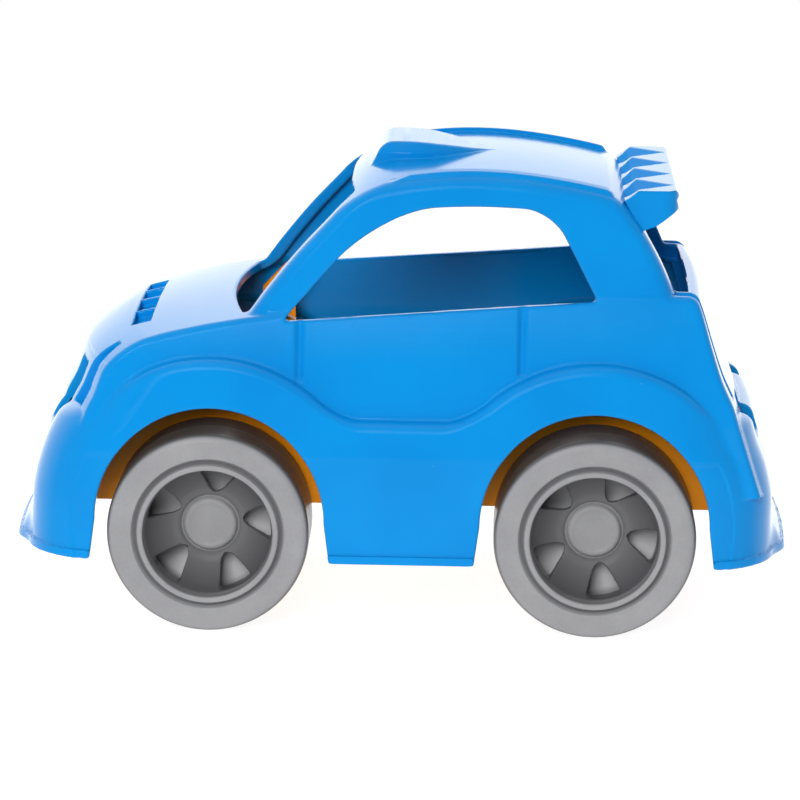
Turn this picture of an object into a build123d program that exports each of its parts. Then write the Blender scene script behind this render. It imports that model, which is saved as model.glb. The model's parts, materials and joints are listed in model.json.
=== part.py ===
"""Pull back toy car: moulded body shell, chassis, two wheel sets and a spring motor.

Millimetres, +Z up. The nose points along -X and the car's left side is -Y. The origin is on
the ground under the middle of the car's outline.
"""

from build123d import *
from math import acos, cos, pi, radians, sin, sqrt, tan
import os

os.makedirs("parts", exist_ok=True)

# ---------------------------------------------------------------- driving dimensions
CAR_LENGTH = 121.0
CAR_WIDTH = 63.0
WALL = 1.8                      # moulded wall of the body shell
SILL_HEIGHT = 11.2              # underside of sills and bumpers above the ground
LEDGE_HEIGHT = 33.3             # top of the flares between the arches
BELT_HEIGHT = 50.5              # height at which the doors' lean changes to the cabin's
ROOF_HEIGHT = 70.0

WHEEL_RADIUS = 15.55
WHEEL_OUTSIDE = 31.0            # wheel's outer face from the centre plane
FRONT_AXLE_X = -29.3
REAR_AXLE_X = 30.1
AXLE_RADIUS = 1.3
AXLE_HALF_LENGTH = 23.5
RUNNING_GAP = 0.05              # radial clearance of every running shaft

ARCH_RADIUS = 17.6
ARCH_CENTRE_Z = 17.4
ARCH_CENTRES = {FRONT_AXLE_X + 0.2: (-47.8, -10.5), REAR_AXLE_X - 0.1: (12.2, 48.3)}
FLARE_RADIUS = 25.1

FLOOR_BOTTOM = 17.3             # underside of the chassis plate
FLOOR_THICKNESS = 1.7
FLOOR_TOP = FLOOR_BOTTOM + FLOOR_THICKNESS
TUB_HALF_WIDTH = 17.0
TUB_WALL = 1.5
LIGHT_GAP = 0.3                 # gap round each light in the shell
LIGHT_Y = 14.75
LIGHT_WIDTH = 6.0
LIGHT_Z = 31.8
LIGHT_HEIGHT = 4.2
LIGHT_OPENING_TOP = {-1: 39.2, 1: 35.6}     # the opening runs on above the lens, nose and tail
LIGHT_ARM_X = 50.6
LIGHT_ARM_THICKNESS = 2.4

FRONT_BOSSES = [(-46.0, -7.0), (-46.0, 7.0)]
REAR_BOSSES = [(50.0, -8.2), (50.0, 8.2)]
BOSS_RADIUS = 2.8
SCREW_RADIUS = 1.05
SCREW_HEAD_RADIUS = 2.3

GEAR_MODULE = 0.5
PRESSURE_ANGLE = radians(25)
ADDENDUM = 0.8 * GEAR_MODULE
DEDENDUM = 1.05 * GEAR_MODULE
BACKLASH = 0.10
PINION_TEETH = 10
IDLER_TEETH = 26
SPRING_TEETH = 30
AXLE_TO_IDLER = 50.0            # direction in degrees, from +X towards +Z
IDLER_TO_SPRING = 145.0
ARBOR_RADIUS = 1.0
PIN_RADIUS = 0.8

CASE_X = (17.9, 44.7)
CASE_Z = (10.0, 38.0)
CASE_Y = (-10.6, 7.4)
CASE_WALL = 1.2
COVER_THICKNESS = 1.6
EAR_LENGTH = 3.3
EAR_THICKNESS = 1.4
EAR_Y = -2.0

WINDOW_ANGLES = {"front": 9.0, "rear": -8.0}   # a wheel window's direction, from +X to +Z
SPOKES = 5

AXLE_Z = WHEEL_RADIUS
MOTOR_X = REAR_AXLE_X


def save(builder, name):
    """Label a finished piece and write its STEP file."""
    builder.part.label = name
    export_step(builder.part, f"parts/{name}.step")


def side_plane(x, y, z):
    """A plane facing -Y: its own x runs along +X and its own y along +Z."""
    return Plane(origin=(x, y, z), x_dir=(1, 0, 0), z_dir=(0, -1, 0))


# ---------------------------------------------------------------- body shell
def lower_form(inset, bottom):
    """Bumpers, flares and sills: a side outline carried across, trimmed to the plan outline."""
    ledge = LEDGE_HEIGHT - inset
    radius = FLARE_RADIUS - inset
    reach = sqrt(radius**2 - (ledge - ARCH_CENTRE_Z) ** 2)
    front, rear = ARCH_CENTRES
    nose = [(-53.5 + inset, ledge), (-56.0 + inset, 27.6), (-58.0 + inset, 21.5),
            (-58.3 + inset, 15.7), (-60.5 + inset, 13.2 - inset), (-60.5 + inset, bottom)]
    tail = [(60.5 - inset, bottom), (60.5 - inset, 13.2 - inset), (58.7 - inset, 16.6),
            (58.4 - inset, 22.0), (56.5 - inset, 28.0), (54.5 - inset, ledge)]
    with BuildPart() as form:
        with BuildSketch(Plane.XZ):
            with BuildLine():
                Polyline((front - reach, ledge), *nose, *tail, (rear + reach, ledge))
                ThreePointArc((front - reach, ledge), (front, ARCH_CENTRE_Z + radius),
                              (front + reach, ledge))
                Line((front + reach, ledge), (rear - reach, ledge))
                ThreePointArc((rear - reach, ledge), (rear, ARCH_CENTRE_Z + radius),
                              (rear + reach, ledge))
            make_face()
        extrude(amount=CAR_WIDTH / 2, both=True)
        with BuildSketch(Plane.XY.offset(bottom)):
            RectangleRounded(CAR_LENGTH - 2 * inset, CAR_WIDTH - 2 * inset, 12 - inset)
        extrude(amount=ROOF_HEIGHT, mode=Mode.INTERSECT)
    return form


def leaning_form(outline, low, high, inset):
    """A side outline carried across the car, between two sides that lean inwards."""
    (low_z, low_half), (high_z, high_half) = low, high
    with BuildPart() as form:
        with BuildSketch(Plane.XZ):
            with BuildLine():
                Polyline(*outline, close=True)
            make_face()
            if inset:
                offset(amount=-inset, kind=Kind.INTERSECTION)
        extrude(amount=CAR_WIDTH / 2, both=True)
        with BuildSketch(Plane.YZ):
            with BuildLine():
                Polyline((-low_half + inset, low_z), (low_half - inset, low_z),
                         (high_half - inset, high_z), (-high_half + inset, high_z), close=True)
            make_face()
        extrude(amount=CAR_LENGTH, both=True, mode=Mode.INTERSECT)
    return form


UPPER_OUTLINE = [(-53.5, 20), (-53.5, 33.5), (-50.5, 36.5), (-48.0, 40.5), (-44.0, 43.3),
                 (-38.4, 45.4), (-24.7, 49.3), (18.3, 51.6), (43.8, 52.8), (45.4, 51.0),
                 (50.4, 37.5), (54.5, 33.5), (54.5, 20)]
REAR_POST = ((33.2, 67.4), (41.8, 52.7))      # rear edge of the cabin, from the roof to the tail
CABIN_OUTLINE = [(-24.5, 40), (-24.5, 47.4), (-9.4, 66.2), (-5.0, 68.8), (0.5, 69.9),
                 (8.0, 70.6), (16.0, 70.4), (24.0, 69.4), *REAR_POST, (41.8, 40)]
SIDE_WINDOW = [(-18.2, 48.6), (-4.8, 64.0), (-0.5, 65.4), (9.0, 66.0), (19.0, 65.6),
               (23.4, 63.6), (29.8, 52.0)]


def closed_forms(inset, bottom):
    """The three closed volumes whose union is the car's outside, or its hollow when inset."""
    upper = leaning_form(UPPER_OUTLINE, (20, 30.0), (BELT_HEIGHT, 25.4), inset)
    upper_high = leaning_form(CABIN_OUTLINE, (BELT_HEIGHT - 12, 25.6), (ROOF_HEIGHT + 2, 23.8),
                              inset)
    return [lower_form(inset, bottom).part, upper.part, upper_high.part]


outside = closed_forms(0, SILL_HEIGHT)
hollow = closed_forms(WALL, SILL_HEIGHT - 6)

with BuildPart() as bosses:
    with Locations(*[(x, y, FLOOR_TOP) for x, y in FRONT_BOSSES]):
        Cylinder(BOSS_RADIUS, 30, align=(Align.CENTER, Align.CENTER, Align.MIN))
    with Locations(*[(x, y, FLOOR_TOP) for x, y in REAR_BOSSES]):
        Cylinder(BOSS_RADIUS, 15, align=(Align.CENTER, Align.CENTER, Align.MIN))
        Box(7.5, 1.6, 13, align=(Align.MIN, Align.CENTER, Align.MIN))
    with Locations(*[(x, y, FLOOR_TOP) for x, y in FRONT_BOSSES]):
        Box(9.5, 1.6, 18, align=(Align.MAX, Align.CENTER, Align.MIN))
    with BuildSketch(Plane.XY.offset(FLOOR_TOP)):
        with Locations(*FRONT_BOSSES, *REAR_BOSSES):
            Circle(SCREW_RADIUS)
    extrude(amount=10, mode=Mode.SUBTRACT)

with BuildPart() as outside_form:
    for volume in outside:
        add(volume)

with BuildPart() as inside_form:
    for volume in hollow:
        add(volume)

with BuildPart() as trimmed_bosses:
    add(bosses.part)
    add(outside_form.part, mode=Mode.INTERSECT)

with BuildPart() as body_shell:
    add(outside_form.part)
    for volume in hollow:
        add(volume, mode=Mode.SUBTRACT)
    # Wheel arches: a round opening over each wheel, splayed towards the ground.
    with BuildSketch(Plane.XZ):
        for centre_x, (foot_front, foot_rear) in ARCH_CENTRES.items():
            with Locations((centre_x, ARCH_CENTRE_Z)):
                Circle(ARCH_RADIUS)
            with BuildLine():
                Polyline((foot_front, SILL_HEIGHT - 8), (centre_x - ARCH_RADIUS, ARCH_CENTRE_Z + 2),
                         (centre_x + ARCH_RADIUS, ARCH_CENTRE_Z + 2), (foot_rear, SILL_HEIGHT - 8),
                         close=True)
            make_face()
    extrude(amount=CAR_WIDTH, both=True, mode=Mode.SUBTRACT)
    # Side windows, right through the cabin.
    with BuildSketch(Plane.XZ):
        with BuildLine():
            Polyline(*SIDE_WINDOW, close=True)
        make_face()
        fillet(vertices(), 2.0)
    extrude(amount=CAR_WIDTH, both=True, mode=Mode.SUBTRACT)
    # Windscreen and rear window openings, cut along the car.
    with BuildSketch(Plane.YZ.offset(-2)):
        with BuildLine():
            Polyline((-21.5, 50.6), (21.5, 50.6), (19.8, 66.0), (-19.8, 66.0), close=True)
        make_face()
        fillet(vertices(), 2.0)
    extrude(amount=-38, mode=Mode.SUBTRACT)
    with BuildSketch(Plane.YZ.offset(30)):
        with BuildLine():
            Polyline((-20.5, 53.2), (20.5, 53.2), (19.5, 62.0), (-19.5, 62.0), close=True)
        make_face()
        fillet(vertices(), 1.5)
    extrude(amount=25, mode=Mode.SUBTRACT)
    # Light openings in the nose and the tail.
    light_foot = LIGHT_Z - LIGHT_HEIGHT / 2 - LIGHT_GAP
    for end, opening_top in LIGHT_OPENING_TOP.items():
        with BuildSketch(Plane.YZ.offset(end * 46)):
            with Locations((-LIGHT_Y, light_foot), (LIGHT_Y, light_foot)):
                Rectangle(LIGHT_WIDTH + 2 * LIGHT_GAP, opening_top - light_foot,
                          align=(Align.CENTER, Align.MIN))
        extrude(amount=end * 14, mode=Mode.SUBTRACT)
    # Roof scoop: a low teardrop blister over the windscreen header.
    with BuildSketch(Plane.XZ):
        with BuildLine():
            Polyline((-4.5, 69.4), (-2.6, 73.2), (1.0, 73.8), (6.5, 73.4), (15.0, 70.8),
                     (15.0, 69.4), close=True)
        make_face()
    extrude(amount=8.0, both=True)
    # Roof rails along the edges of the roof.
    for side in (-1, 1):
        with BuildSketch(Plane.XZ.offset(side * 21.0)):
            with BuildLine():
                Polyline((-2.8, 68.5), (-0.5, 70.6), (7.1, 71.7), (17.7, 71.5), (30.7, 69.2),
                         (31.9, 67.2), close=True)
            make_face()
        extrude(amount=side * 2.0)
    add(trimmed_bosses.part)

save(body_shell, "body_shell")

# ---------------------------------------------------------------- roof spoiler
FIN_COUNT = 5
FIN_PITCH = 9.6
GROOVE_WIDTH = 6.4
(post_top_x, post_top_z), (post_foot_x, post_foot_z) = REAR_POST
post_lean = (post_foot_x - post_top_x) / (post_top_z - post_foot_z)
SPOILER_FOOT = 62.2
SPOILER_SEAT = 66.9


def rear_post_x(height):
    """Where the cabin's rear edge stands at a height."""
    return post_top_x + (post_top_z - height) * post_lean


with BuildPart() as roof_spoiler:
    with BuildSketch(Plane.XZ):
        with BuildLine():
            Polyline((rear_post_x(SPOILER_SEAT), SPOILER_SEAT), (34.4, 67.4), (35.7, 68.9),
                     (41.5, 68.9), (42.1, 67.6), (41.6, 65.5), (38.4, 62.9),
                     (rear_post_x(SPOILER_FOOT), SPOILER_FOOT), close=True)
        make_face()
    extrude(amount=22.4, both=True)
    # V grooves between the fins, open towards the roof and shallower to the rear.
    with BuildSketch(Plane.YZ.offset(33.0)):
        for groove in range(FIN_COUNT - 1):
            with BuildLine(Location((FIN_PITCH * (groove - (FIN_COUNT - 2) / 2), 0))):
                Polyline((-GROOVE_WIDTH / 2, 70.0), (0, 65.6), (GROOVE_WIDTH / 2, 70.0), close=True)
            make_face()
    extrude(amount=6.4, mode=Mode.SUBTRACT)

save(roof_spoiler, "roof_spoiler")

# ---------------------------------------------------------------- chassis
SADDLE_Y = 13.0
SADDLE_WIDTH = 2.6
SADDLE_BOTTOM = 12.6
SADDLE_HALF_LENGTH = 3.4
SADDLE_MOUTH = 2.2
PAD_BOTTOM = 16.3
BRIDGE_HALF_WIDTH = 29.2

with BuildPart() as tips:
    for end in (-1, 1):
        with Locations((end * 54, -LIGHT_Y, LIGHT_Z), (end * 54, LIGHT_Y, LIGHT_Z)):
            Box(11, LIGHT_WIDTH, LIGHT_HEIGHT)
    add(inside_form.part, mode=Mode.INTERSECT)

with BuildPart() as chassis_tray:
    with BuildSketch(Plane.XY.offset(FLOOR_BOTTOM)):
        Rectangle(106, 2 * TUB_HALF_WIDTH)
        with Locations((0.8, 0)):
            Rectangle(19, 2 * BRIDGE_HALF_WIDTH)
        with Locations((-51.7, 0), (51.7, 0)):
            Rectangle(4.6, 50)
    extrude(amount=FLOOR_THICKNESS)
    with Locations((0.8, 0, FLOOR_BOTTOM)):
        Box(18, 28, FLOOR_BOTTOM - PAD_BOTTOM, align=(Align.CENTER, Align.CENTER, Align.MAX))
    # Side walls between the wheels and the tub, with a tab up to the foot of each windscreen post.
    for side in (-1, 1):
        with BuildSketch(Plane.XZ.offset(side * (TUB_HALF_WIDTH - TUB_WALL))):
            with BuildLine():
                Polyline((-50, FLOOR_TOP - 0.5), (-50, 31), (-46.5, 36), (46.5, 36), (50, 31),
                         (50, FLOOR_TOP - 0.5), close=True)
            make_face()
        extrude(amount=side * TUB_WALL)
        with BuildSketch(Plane.XZ.offset(side * 20.6)):
            with BuildLine():
                Polyline((-24, 34), (-24, 44.4), (-20.4, 48.2), (-18.9, 48.6), (-16.4, 47.6),
                         (-16.4, 46.4), (-18.6, 44.4), (-18.6, 34), close=True)
            make_face()
        extrude(amount=side * 1.6)
        with Locations((-21.3, -side * 19.0, 34.8)):
            Box(5.4, 5.0, 1.6)
    # Lights: the ends of short arms that stand up from the floor behind the shell.
    add(tips.part)
    for end in (-1, 1):
        with Locations(*[(end * LIGHT_ARM_X, y, FLOOR_BOTTOM) for y in (-LIGHT_Y, LIGHT_Y)]):
            Box(LIGHT_ARM_THICKNESS, LIGHT_WIDTH, LIGHT_Z - FLOOR_BOTTOM,
                align=(Align.CENTER, Align.CENTER, Align.MIN))
    # Saddles that the axles snap into from below.
    for axle_x in (FRONT_AXLE_X, REAR_AXLE_X):
        with Locations((axle_x, -SADDLE_Y, FLOOR_BOTTOM), (axle_x, SADDLE_Y, FLOOR_BOTTOM)):
            Box(2 * SADDLE_HALF_LENGTH, SADDLE_WIDTH, FLOOR_BOTTOM - SADDLE_BOTTOM,
                align=(Align.CENTER, Align.CENTER, Align.MAX))
        with BuildSketch(Plane.XZ):
            with Locations((axle_x, AXLE_Z)):
                Circle(AXLE_RADIUS + RUNNING_GAP)
            with Locations((axle_x, SADDLE_BOTTOM)):
                Rectangle(SADDLE_MOUTH, 2 * (AXLE_Z - SADDLE_BOTTOM))
        extrude(amount=TUB_HALF_WIDTH + 4, both=True, mode=Mode.SUBTRACT)
    # Cut-out that the motor hangs through, and the screw holes.
    with BuildSketch(Plane.XY.offset(PAD_BOTTOM)):
        with Locations(((CASE_X[0] + CASE_X[1]) / 2, (CASE_Y[0] + CASE_Y[1] + COVER_THICKNESS) / 2)):
            Rectangle(CASE_X[1] - CASE_X[0] + 0.6, CASE_Y[1] - CASE_Y[0] + COVER_THICKNESS + 0.6)
        with Locations(*FRONT_BOSSES, *REAR_BOSSES):
            Circle(SCREW_RADIUS + 0.15)
        with Locations((CASE_X[0] - EAR_LENGTH / 2, EAR_Y), (CASE_X[1] + EAR_LENGTH / 2, EAR_Y)):
            Circle(SCREW_RADIUS)
    extrude(amount=FLOOR_TOP - PAD_BOTTOM + 1, mode=Mode.SUBTRACT)

save(chassis_tray, "chassis_tray")

# ---------------------------------------------------------------- screws
with BuildPart() as body_screws:
    with Locations(*[(x, y, FLOOR_BOTTOM) for x, y in FRONT_BOSSES + REAR_BOSSES]):
        Cylinder(SCREW_HEAD_RADIUS, 1.5, align=(Align.CENTER, Align.CENTER, Align.MAX))
        Cylinder(SCREW_RADIUS, 9.5, align=(Align.CENTER, Align.CENTER, Align.MIN))
    with Locations(*[(x, y, FLOOR_BOTTOM - 1.5) for x, y in FRONT_BOSSES + REAR_BOSSES]):
        Box(2.6, 0.6, 1.2, mode=Mode.SUBTRACT)
        Box(0.6, 2.6, 1.2, mode=Mode.SUBTRACT)

save(body_screws, "body_screws")

EAR_TOP = FLOOR_TOP + EAR_THICKNESS
EAR_SCREWS = [(CASE_X[0] - EAR_LENGTH / 2, EAR_Y, EAR_TOP), (CASE_X[1] + EAR_LENGTH / 2, EAR_Y, EAR_TOP)]

with BuildPart() as motor_screws:
    with Locations(*EAR_SCREWS):
        Cylinder(1.6, 1.2, align=(Align.CENTER, Align.CENTER, Align.MIN))
        Cylinder(SCREW_RADIUS, 4.4, align=(Align.CENTER, Align.CENTER, Align.MAX))

save(motor_screws, "motor_screws")

# ---------------------------------------------------------------- wheels and axles
HALF_SPLIT = 24.5               # where the two halves of a wheel meet
TREAD_INSIDE = 13.3             # inner radius of the tyre wall
HUB_BORE = [(0, 17), (AXLE_RADIUS, 17), (AXLE_RADIUS, AXLE_HALF_LENGTH), (0, AXLE_HALF_LENGTH)]
FACE_PROFILE = [(0, 22.0), (3.4, 22.0), (3.6, 22.9), (9.4, 26.9), (TREAD_INSIDE, 28.0),
                (TREAD_INSIDE, HALF_SPLIT), (WHEEL_RADIUS, HALF_SPLIT), (WHEEL_RADIUS, 29.4),
                (15.1, 30.5), (14.2, 31.0), (11.7, 31.0), (11.35, 30.6), (11.0, 30.9),
                (10.2, 30.7), (9.8, 28.8), (7.0, 26.0), (4.6, 24.2), (4.3, 24.45), (0, 24.6)]
BACK_PROFILE = [(0, 18.4), (3.2, 18.4), (3.4, 19.4), (TREAD_INSIDE, 19.4), (TREAD_INSIDE, 18.0),
                (15.2, 18.0), (WHEEL_RADIUS, 18.5), (WHEEL_RADIUS, HALF_SPLIT),
                (TREAD_INSIDE, HALF_SPLIT), (TREAD_INSIDE, 21.0), (3.4, 21.0), (3.2, 22.0), (0, 22.0)]


def turned(profile, side, axle_x, mode=Mode.ADD):
    """Turn a (radius, distance from the centre plane) outline about a wheel's axle."""
    with BuildSketch(Plane(origin=(axle_x, 0, AXLE_Z))) as outline:
        with BuildLine():
            Polyline(*[(radius, side * reach) for radius, reach in profile], close=True)
        make_face()
    revolve(outline.sketch, axis=Axis((axle_x, 0, AXLE_Z), (0, 1, 0)), mode=mode)


def wheel_face(side, axle_x, first_angle):
    """Outer half: tyre wall, rim lip, dished spokes and the hub cap."""
    with BuildPart() as face:
        turned(FACE_PROFILE, side, axle_x)
        # Windows between the spokes: narrow and round at the hub, wide at the rim.
        with BuildSketch(side_plane(axle_x, 0, AXLE_Z)):
            with PolarLocations(0, SPOKES, start_angle=first_angle):
                Polygon((5.4, -0.8), (5.4, 0.8), (9.1, 3.8), (9.6, 1.9), (9.6, -1.9), (9.1, -3.8),
                        align=None)
        extrude(amount=-side * 2 * WHEEL_OUTSIDE, mode=Mode.SUBTRACT)
        turned(HUB_BORE, side, axle_x, mode=Mode.SUBTRACT)
    return face


def wheel_back(side, axle_x):
    """Inner half: tyre wall, web and the hub that the axle is pressed through."""
    with BuildPart() as back:
        turned(BACK_PROFILE, side, axle_x)
        turned(HUB_BORE, side, axle_x, mode=Mode.SUBTRACT)
    return back


for end, axle_x in (("front", FRONT_AXLE_X), ("rear", REAR_AXLE_X)):
    for name, side in (("left", -1), ("right", 1)):
        save(wheel_face(side, axle_x, WINDOW_ANGLES[end]), f"{end}_{name}_wheel_face")
        save(wheel_back(side, axle_x), f"{end}_{name}_wheel_back")
    with BuildPart() as axle:
        with BuildSketch(side_plane(axle_x, AXLE_HALF_LENGTH, AXLE_Z)):
            Circle(AXLE_RADIUS)
        extrude(amount=2 * AXLE_HALF_LENGTH)
        chamfer(axle.edges().filter_by(GeomType.CIRCLE), 0.2)
    save(axle, f"{end}_axle")

# ---------------------------------------------------------------- motor gears


def pitch_radius(teeth):
    return GEAR_MODULE * teeth / 2


def along(start, distance, direction):
    """The point at a distance and a direction in degrees, in the plane of the gears."""
    return (start[0] + distance * cos(radians(direction)), start[1] + distance * sin(radians(direction)))


AXLE_AT = (MOTOR_X, AXLE_Z)
IDLER_AT = along(AXLE_AT, pitch_radius(PINION_TEETH) + pitch_radius(IDLER_TEETH), AXLE_TO_IDLER)
SPRING_AT = along(IDLER_AT, pitch_radius(PINION_TEETH) + pitch_radius(SPRING_TEETH), IDLER_TO_SPRING)


def facing_gap(direction, teeth):
    """Where a gear's first tooth points when its gap faces back along a line of centres."""
    return direction + 180 + 180 / teeth


def tooth_outline(teeth, first_tooth):
    """Corner points of an involute spur gear, flank by flank."""
    pitch = pitch_radius(teeth)
    base = pitch * cos(PRESSURE_ANGLE)
    half_at_pitch = pi / (2 * teeth) - BACKLASH / (2 * pitch)
    involute_at_pitch = tan(PRESSURE_ANGLE) - PRESSURE_ANGLE
    flank = []
    for step in range(4):
        radius = max(base, pitch - DEDENDUM) + (pitch + ADDENDUM - max(base, pitch - DEDENDUM)) * step / 3
        roll = acos(base / radius)
        flank.append((radius, half_at_pitch + involute_at_pitch - (tan(roll) - roll)))
    flank.insert(0, (pitch - DEDENDUM - 0.02, flank[0][1]))
    outline = []
    for tooth in range(teeth):
        centre = radians(first_tooth) + 2 * pi * tooth / teeth
        for side, points in ((-1, flank), (1, reversed(flank))):
            for radius, half in points:
                angle = centre + side * half
                outline.append((radius * cos(angle), radius * sin(angle)))
    return outline


def spur(at, teeth, first_tooth, low_y, high_y):
    """One toothed disc between two distances along the car's width."""
    with BuildSketch(side_plane(at[0], high_y, at[1])) as disc:
        with BuildLine():
            Polyline(*tooth_outline(teeth, first_tooth), close=True)
        make_face()
    extrude(disc.sketch, amount=high_y - low_y)


def rod(at, radius, low_y, high_y, mode=Mode.ADD):
    """A round rod or bore across the car."""
    with BuildSketch(side_plane(at[0], high_y, at[1])) as section:
        Circle(radius)
    extrude(section.sketch, amount=high_y - low_y, mode=mode)


with BuildPart() as axle_pinion:
    spur(AXLE_AT, PINION_TEETH, AXLE_TO_IDLER, 2.2, 5.2)
    rod(AXLE_AT, AXLE_RADIUS, 1, 6, mode=Mode.SUBTRACT)
save(axle_pinion, "axle_pinion")

with BuildPart() as idler_gear:
    spur(IDLER_AT, PINION_TEETH, IDLER_TO_SPRING, -2.6, 2.6)
    spur(IDLER_AT, IDLER_TEETH, facing_gap(AXLE_TO_IDLER, IDLER_TEETH), 2.6, 4.8)
    rod(IDLER_AT, PIN_RADIUS + RUNNING_GAP, -3, 5, mode=Mode.SUBTRACT)
save(idler_gear, "idler_gear")

with BuildPart() as spring_gear:
    spur(SPRING_AT, SPRING_TEETH, facing_gap(IDLER_TO_SPRING, SPRING_TEETH), -2.0, 0.2)
    rod(SPRING_AT, 2.4, 0.2, 1.6)
    rod(SPRING_AT, ARBOR_RADIUS, -3, 3, mode=Mode.SUBTRACT)
save(spring_gear, "spring_gear")

CASE_MIDDLE = ((CASE_X[0] + CASE_X[1]) / 2, (CASE_Z[0] + CASE_Z[1]) / 2)
CASE_SIZE = (CASE_X[1] - CASE_X[0], CASE_Z[1] - CASE_Z[0])
COVER_Y = CASE_Y[1] + COVER_THICKNESS

with BuildPart() as spring_arbor:
    rod(SPRING_AT, ARBOR_RADIUS, CASE_Y[0], COVER_Y)
save(spring_arbor, "spring_arbor")

with BuildPart() as idler_pin:
    rod(IDLER_AT, PIN_RADIUS, CASE_Y[0], COVER_Y)
save(idler_pin, "idler_pin")

# ---------------------------------------------------------------- mainspring
SPRING_STRIP = 0.3
SPRING_PITCH = 0.72
SPRING_TURNS = 7
SPRING_INSIDE = 1.6
SPRING_Y = (-8.8, -2.8)
CHAMBER_RADIUS = 7.4


def spiral_edges(start_radius, half_turns):
    """Half circles about two centres, each larger by half a pitch, joined end to end."""
    for turn in range(half_turns):
        centre = (SPRING_PITCH / 2 * (turn % 2), 0)
        CenterArc(centre, start_radius + SPRING_PITCH / 2 * turn, 180 * (turn % 2), 180)


with BuildPart() as mainspring:
    with BuildSketch(side_plane(SPRING_AT[0], SPRING_Y[1], SPRING_AT[1])):
        with BuildLine():
            spiral_edges(SPRING_INSIDE, 2 * SPRING_TURNS)
            spiral_edges(SPRING_INSIDE + SPRING_STRIP, 2 * SPRING_TURNS)
            Line((SPRING_INSIDE, 0), (SPRING_INSIDE + SPRING_STRIP, 0))
            end_radius = SPRING_INSIDE + SPRING_PITCH * SPRING_TURNS
            Line((end_radius, 0), (end_radius + SPRING_STRIP, 0))
        make_face()
    extrude(amount=SPRING_Y[1] - SPRING_Y[0])
save(mainspring, "mainspring")

# ---------------------------------------------------------------- motor case
with BuildPart() as motor_case:
    with BuildSketch(side_plane(CASE_MIDDLE[0], CASE_Y[1], CASE_MIDDLE[1])):
        RectangleRounded(*CASE_SIZE, 2.0)
    extrude(amount=CASE_Y[1] - CASE_Y[0])
    with BuildSketch(side_plane(CASE_MIDDLE[0], CASE_Y[1], CASE_MIDDLE[1])):
        RectangleRounded(CASE_SIZE[0] - 2 * CASE_WALL, CASE_SIZE[1] - 2 * CASE_WALL, 1.0)
    extrude(amount=CASE_Y[1] - CASE_Y[0] - CASE_WALL, mode=Mode.SUBTRACT)
    # Chamber wall round the mainspring.
    with BuildSketch(side_plane(SPRING_AT[0], SPRING_Y[1], SPRING_AT[1])):
        Circle(CHAMBER_RADIUS + 0.8)
        Circle(CHAMBER_RADIUS, mode=Mode.SUBTRACT)
    extrude(amount=SPRING_Y[1] - CASE_Y[0] - CASE_WALL / 2)
    # Ears that rest on the chassis plate and take its screws.
    with Locations(*[(x, y, FLOOR_TOP) for x, y, _ in EAR_SCREWS]):
        Box(EAR_LENGTH + 0.8, 6, EAR_THICKNESS, align=(Align.CENTER, Align.CENTER, Align.MIN))
    with BuildSketch(side_plane(CASE_MIDDLE[0], CASE_Y[1], CASE_MIDDLE[1])):
        Rectangle(CASE_SIZE[0] - 2 * CASE_WALL, CASE_SIZE[1] - 2 * CASE_WALL - 12)
    extrude(amount=6, mode=Mode.SUBTRACT)
    with Locations(*EAR_SCREWS):
        Cylinder(SCREW_RADIUS, 4, mode=Mode.SUBTRACT)
    rod(AXLE_AT, AXLE_RADIUS + RUNNING_GAP, CASE_Y[0] - 1, 0, mode=Mode.SUBTRACT)
    rod(SPRING_AT, ARBOR_RADIUS + RUNNING_GAP, CASE_Y[0] - 1, 0, mode=Mode.SUBTRACT)
    rod(IDLER_AT, PIN_RADIUS, CASE_Y[0] - 1, 0, mode=Mode.SUBTRACT)
save(motor_case, "motor_case")

with BuildPart() as motor_cover:
    with BuildSketch(side_plane(CASE_MIDDLE[0], COVER_Y, CASE_MIDDLE[1])):
        RectangleRounded(*CASE_SIZE, 2.0)
    extrude(amount=COVER_THICKNESS)
    rod(AXLE_AT, AXLE_RADIUS + RUNNING_GAP, CASE_Y[1] - 1, COVER_Y + 1, mode=Mode.SUBTRACT)
    rod(SPRING_AT, ARBOR_RADIUS + RUNNING_GAP, CASE_Y[1] - 1, COVER_Y + 1, mode=Mode.SUBTRACT)
    rod(IDLER_AT, PIN_RADIUS, CASE_Y[1] - 1, COVER_Y + 1, mode=Mode.SUBTRACT)
save(motor_cover, "motor_cover")
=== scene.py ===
# %% [markdown]
# # A pull back car, dressed for the camera
# The toy is a handful of mouldings: a glossy blue body with open windows, a finned roof spoiler, an
# amber chassis whose ends show as lights, and grey two-part wheels on steel axles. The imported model
# is the skeleton: every piece made here rides on one of its bodies, so the wheels still turn.

import json
import math

import bpy
import numpy as np
from mathutils import Matrix, Vector

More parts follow.
